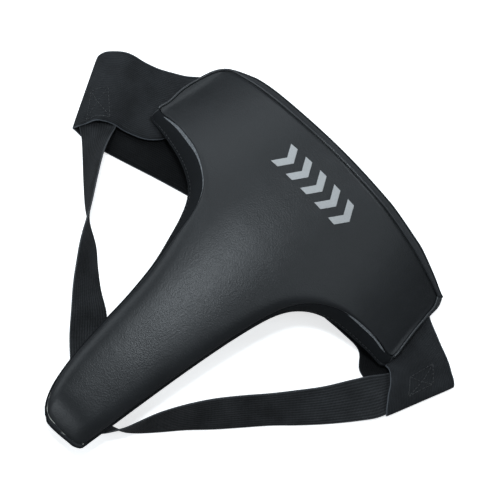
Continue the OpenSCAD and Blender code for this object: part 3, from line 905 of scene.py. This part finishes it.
def hinge_blend(obj):
    """Bake the object's transform into its mesh; nothing is blended across a crease here."""
    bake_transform(obj)


def fold_blend(obj):
    """Bake the object's transform into its mesh; nothing is blended round the fold here."""
    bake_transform(obj)


def waistband():
    left_run, right_run = run_length(BELT_LEFT), run_length(BELT_RIGHT)
    look = (BELT_THICK, BELT, "belt_elastic")
    front_left = ribbon("waistband_front_left", BELT_LEFT, 0, LEFT_CUT_FRONT, *look, left_run,
                        caps=(True, False), **LEFT_LIE)
    hinge_blend(front_left)
    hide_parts("wing_tab_left")
    fold_left = ribbon("waistband_fold_left", BELT_LEFT, LEFT_CUT_FRONT, LEFT_CUT_BACK, *look, left_run,
                       caps=(False, False), density=8, **LEFT_LIE)
    fold_blend(fold_left)
    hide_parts("waistband_front_left", "waistband_back_left")
    back = ribbon("waistband_back", BELT_LEFT, LEFT_CUT_BACK, BACK_CENTRE, *look, left_run,
                  caps=(False, False), **LEFT_LIE)
    hinge_blend(back)
    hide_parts("waistband_back")
    ribbon("waistband_back_centre_right", BELT_RIGHT, OPEN_CREASE, BACK_CENTRE, *look, right_run,
           body="waist_back", caps=(True, False), **RIGHT_LIE)
    ribbon("waistband_back_right", BELT_RIGHT, RIGHT_CUT_BACK, RIGHT_RUN_END, *look, right_run,
           body="waist_back_right", caps=(False, True), **RIGHT_LIE)
    # lapped end of the loop: it lies inside the right run and bridges the crease as the belt opens
    ribbon("waistband_back_lap", BELT_RIGHT, LAP_START, LAP_END, LAP_THICK, *look[1:], right_run,
           body="waist_back", density=12, **RIGHT_LIE)
    fold_right = ribbon("waistband_fold_right", BELT_RIGHT, RIGHT_CUT_FRONT, RIGHT_CUT_BACK, *look,
                        right_run, caps=(False, False), density=8, **RIGHT_LIE)
    fold_blend(fold_right)
    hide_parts("waistband_front_right", "waistband_back_right")
    front_right = ribbon("waistband_front_right", BELT_RIGHT, 0, RIGHT_CUT_FRONT, *look, right_run,
                         caps=(True, False), **RIGHT_LIE)
    hinge_blend(front_right)
    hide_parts("wing_tab_right")


waistband()


# Leg straps: x, y, height of the lower edge, twist in degrees, width
STRAP_LEFT = [
    (-181, -34, 3.2, 0, 26), (-172, -49, 3.2, 0, 29), (-164, -58, 2.8, -12, 30),
    (-156.5, -66.5, 1.8, -40, 30), (-146, -79.5, 0.8, -58, 30), (-131.5, -95.5, 0.4, -70, 29),
    (-115, -112.5, 0.4, -84, 28), (-95.5, -130.5, 0.4, -115, 28), (-82, -144, 0.4, -128, 28),
    (-68, -157, 0.4, -141, 29), (-53, -168.5, 0.4, -160, 30), (-39, -181.5, 0.4, -176, 30),
    (-24, -195, 3.0, -180, 29), (-9, -208, 9.0, -180, 27), (4, -220, 15.5, -180, 25),
]
STRAP_RIGHT = [
    (168.5, -7, 3.2, 0, 26), (160.5, -27.5, 3.2, 0, 28), (153, -44.5, 2.8, 2, 34),
    (144, -59.5, 1.6, 6, 33), (131.5, -79, 0.5, 14, 30), (118, -98, 0.4, 32, 30),
    (104, -116, 0.4, 42, 30), (89.5, -134.5, 0.4, 43, 30), (76, -152.5, 0.4, 47, 30),
    (63, -171, 0.4, 57, 29), (52, -189, 0.4, 66, 27), (43.5, -204, 0.4, 78, 23),
    (37, -213.5, 0.6, 92, 19), (29, -221, 3.0, 118, 17), (21, -228, 8.0, 145, 16),
    (14, -234, 12.0, 165, 15),
]


def strap_edges(stations):
    stations = np.array(stations, float)
    ahead = unit(np.gradient(stations[:, :2], axis=0))
    level = to_the_right(ahead)
    twist, width = np.radians(stations[:, 3]), stations[:, 4]
    cross = level * np.cos(twist)[:, None] + np.array([0, 0, 1.0]) * np.sin(twist)[:, None]
    height = stations[:, 2] + np.abs(np.sin(twist)) * width / 2 + STRAP_THICK / 2
    middle = np.c_[stations[:, :2], height]
    half = cross * width[:, None] / 2
    return np.hstack([middle - half, middle + half])


def strap_blend(obj, body_a, body_b, stations, a, b):
    """Bake the object's transform into its mesh; nothing is blended along the strap here."""
    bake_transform(obj)


def leg_strap(side_name, stations, cut, seam, bend, belt_body):
    """Upper and lower piece, cut at an index; seam and bend go to strap_blend, which does not use them."""
    edges = strap_edges(stations)
    run = run_length(edges)
    look = (STRAP_THICK, STRAP, "strap_elastic", run)
    last = len(stations) - 1
    upper = ribbon(f"leg_strap_{side_name}_upper", edges, 0, cut, *look, caps=(True, False), density=8)
    strap_blend(upper, belt_body, f"strap_{side_name}_upper", stations, *seam)
    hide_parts(f"strap_tab_{side_name}", f"leg_strap_{side_name}_upper")
    lower = ribbon(f"leg_strap_{side_name}_lower", edges, cut, last, *look, caps=(False, True),
                   density=8)
    strap_blend(lower, f"strap_{side_name}_upper", f"strap_{side_name}_lower", stations, *bend)
    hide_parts(f"leg_strap_{side_name}_lower")


leg_strap("left", STRAP_LEFT, 4.6, (2.6, 4.0), (5.2, 6.8), "waist_front_left")
leg_strap("right", STRAP_RIGHT, 4.0, (2.3, 3.6), (6.0, 8.0), "waist_front_right")


# ---------------- stitching
def stitches(name, path, length, gap, lift, radius, body):
    """Row of short raised stitches along a path of points with normals."""
    points, normals = path
    run = distance_along(points)
    vertices, faces = [], []
    position = gap
    while position + length < run[-1]:
        ends = [point_at(position + f * length, run, points) for f in (0.0, 0.5, 1.0)]
        normal = unit(point_at(position + length / 2, run, normals))
        along = unit(ends[2] - ends[0])
        sideways = np.cross(normal, along)
        base = len(vertices)
        for centre, height, size in ((ends[0], -0.1, 0.5), (lerp(ends[0], ends[1], 0.4), lift, 1.0),
                                     (lerp(ends[2], ends[1], 0.4), lift, 1.0), (ends[2], -0.1, 0.5)):
            for angle in (0, 60, 120, 180, 240, 300):
                a = math.radians(angle)
                vertices.append(centre + normal * (height + math.sin(a) * radius * size)
                                + sideways * math.cos(a) * radius * size)
        for k in range(3):
            for j in range(6):
                a, b = base + k * 6 + j, base + k * 6 + (j + 1) % 6
                faces.append((a, b, b + 6, a + 6))
        faces.append(tuple(base + j for j in reversed(range(6))))
        faces.append(tuple(base + 18 + j for j in range(6)))
        position += length + gap
    return make_object(name, vertices, faces, None, THREAD, body)


def ribbon_path(edges, places, cup, ripple):
    """Points and normals on a ribbon's upper face at (index, share across) places."""
    points, normals = [], []
    for where, share in places:
        grid, across = ribbon_sheet(edges, np.array([where, where + 0.01]), cup, ripple)
        at_share = [point_at(share, across, row) for row in grid]
        near = point_at(share + 0.02, across, grid[0])
        normal = unit(np.cross(at_share[1] - at_share[0], near - at_share[0]))
        if normal[2] < 0:
            normal = -normal
        points.append(at_share[0] + normal * BELT_THICK / 2)
        normals.append(normal)
    return np.array(points), np.array(normals)


def box_places(a, b, c, d):
    """Closed box with a cross in it, as fractional places on a ribbon; a to d go round it."""
    corners = [a, b, c, d, a, c, b, d]
    places = []
    for start, end in zip(corners, corners[1:]):
        for f in np.linspace(0, 1, 12, endpoint=False):
            places.append((lerp(start[0], end[0], f), lerp(start[1], end[1], f)))
    return places + [corners[-1]]


BOX_THREAD = dict(length=2.4, gap=0.9, lift=0.18, radius=0.28)
GUSSET_THREAD = dict(length=2.6, gap=1.2, lift=0.12, radius=0.24)
left_box = box_places((6.45, -0.02), (5.4, -0.86), (7.1, -0.9), (7.8, -0.1))
right_box = box_places((4.0, 0.5), (4.2, -0.3), (5.7, -0.35), (5.4, 0.4))
for side_name, edges, box, lie in (("left", BELT_LEFT, left_box, LEFT_LIE),
                                   ("right", BELT_RIGHT, right_box, RIGHT_LIE)):
    box_stitch = stitches(f"box_stitch_{side_name}", ribbon_path(edges, box, **lie),
                          body=f"waist_front_{side_name}", **BOX_THREAD)
    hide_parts(f"box_stitch_{side_name}")


def rim_stitches(name, steps, share):
    """Stitches on the wall; share runs from its lowest filled row to the lining seam."""
    line = spline(lerp(PAD_WALLS[-1][steps], seam_points(PAD_LOW, steps), share),
                  np.linspace(0, len(steps) - 1, 2 * len(steps)))
    ahead = np.gradient(line, axis=0)
    outward = to_the_right(ahead, 0.4 * np.linalg.norm(ahead, axis=1))
    stitches(name, (line, outward), body="pad", **GUSSET_THREAD)


for side_name, steps in (("right", right_leg), ("left", left_leg)):
    rim_stitches(f"gusset_stitches_{side_name}", steps, 0.4)


# ---------------- CAD pieces that stay
def dress(node, material):
    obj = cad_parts[node]
    obj.data.materials.clear()
    obj.data.materials.append(material)


dress("tip_patch", LINING)


# ---------------- room, light and camera
ROOM_LIGHT = 0.13
FLOOR_GLOW = 0.65
FLOOR_HALF = 3000
# A hair below the part, so that the two never share a plane
FLOOR_LEVEL = -0.05
COOL_WHITE = (0.86, 0.94, 1.0)


def room():
    """White sweep that glows a little, as on a light table, in an evenly lit room."""
    n = Nodes("pale_floor")
    speck = n.noise(n.position(), 8, 3)
    n.finish(n.tint(speck, (0.9, 0.9, 0.9), (0.93, 0.93, 0.93)), n.spread(speck, 0.55, 0.65),
             Emission_Color=(1, 1, 1, 1), Emission_Strength=FLOOR_GLOW)
    signs = ((-1, -1), (1, -1), (1, 1), (-1, 1))
    corners = [(x * FLOOR_HALF, y * FLOOR_HALF, FLOOR_LEVEL) for x, y in signs]
    floor = make_object("floor", corners, [(0, 1, 2, 3)], None, n.material)
    # its glow would draw pale lines along the pad's gussets
    floor.visible_glossy = False
    world = bpy.data.worlds.new("studio")
    bpy.context.scene.world = world
    world.use_nodes = True
    background = world.node_tree.nodes["Background"]
    background.inputs["Color"].default_value = (*COOL_WHITE, 1)
    background.inputs["Strength"].default_value = ROOM_LIGHT
    bpy.context.scene.view_settings.view_transform = "Standard"


def softbox(name, place, aim, size, power):
    """Rectangular light; place, aim and size in metres, power in watts."""
    light = bpy.data.lights.new(name, "AREA")
    light.shape = "RECTANGLE"
    light.size, light.size_y = size
    light.energy = power
    light.color = COOL_WHITE
    obj = bpy.data.objects.new(name, light)
    bpy.context.scene.collection.objects.link(obj)
    obj.location = place
    obj.rotation_euler = (Vector(aim) - Vector(place)).to_track_quat("-Z", "Y").to_euler()


# Degrees, then metres, then millimetres. The view is centred to the side of the target and
# above it, measured along the picture, and is this wide at the target
CAMERA_TILT_X, CAMERA_TILT_Y, CAMERA_ROLL = 6.9, 15.0, 48.2
CAMERA_DISTANCE = 1.5
TARGET = np.array([0.0, -80.0, 30.0])
VIEW_ASIDE, VIEW_ABOVE, VIEW_WIDTH = 26.8, 24.4, 400.0


def camera():
    """Camera above the pad, tilted a little towards its crotch end and its right side."""
    lean_x, lean_y = (math.tan(math.radians(tilt)) for tilt in (CAMERA_TILT_X, CAMERA_TILT_Y))
    back = unit(np.array([lean_x, -lean_y, 1.0]))
    up = unit(np.array([0, 1.0, 0]) - back[1] * back)
    right = np.cross(up, back)
    roll = math.radians(CAMERA_ROLL)
    screen_x = right * math.cos(roll) + up * math.sin(roll)
    screen_y = -right * math.sin(roll) + up * math.cos(roll)
    centre = (TARGET + screen_x * VIEW_ASIDE + screen_y * VIEW_ABOVE) * MM
    data = bpy.data.cameras.new("camera")
    data.sensor_width = 36
    data.lens = data.sensor_width * CAMERA_DISTANCE / (VIEW_WIDTH * MM)
    obj = bpy.data.objects.new("camera", data)
    bpy.context.scene.collection.objects.link(obj)
    matrix = np.eye(4)
    matrix[:3, 0], matrix[:3, 1], matrix[:3, 2] = screen_x, screen_y, back
    matrix[:3, 3] = centre + back * CAMERA_DISTANCE
    obj.matrix_world = Matrix(matrix.tolist())
    bpy.context.scene.camera = obj


room()
softbox("key", (-0.27, -0.06, 1.6), (0, -0.1, 0), (0.22, 0.22), 10.5)
softbox("upper_left", (-1.15, 0.5, 1.0), (0, -0.05, 0), (0.9, 0.9), 6)
softbox("right_side", (0.8, 0.35, 1.4), (0, 0, 0), (0.8, 0.8), 3.5)
softbox("waist_side", (0.1, 1.3, 1.3), (0, 0, 0), (0.8, 0.5), 9)
softbox("tip_side", (-0.3, -1.25, 0.6), (0, -0.25, 0), (0.35, 0.35), 3.2)
softbox("left_low", (-1.3, -0.5, 0.45), (-0.05, -0.1, 0), (1.4, 0.8), 6.5)
camera()
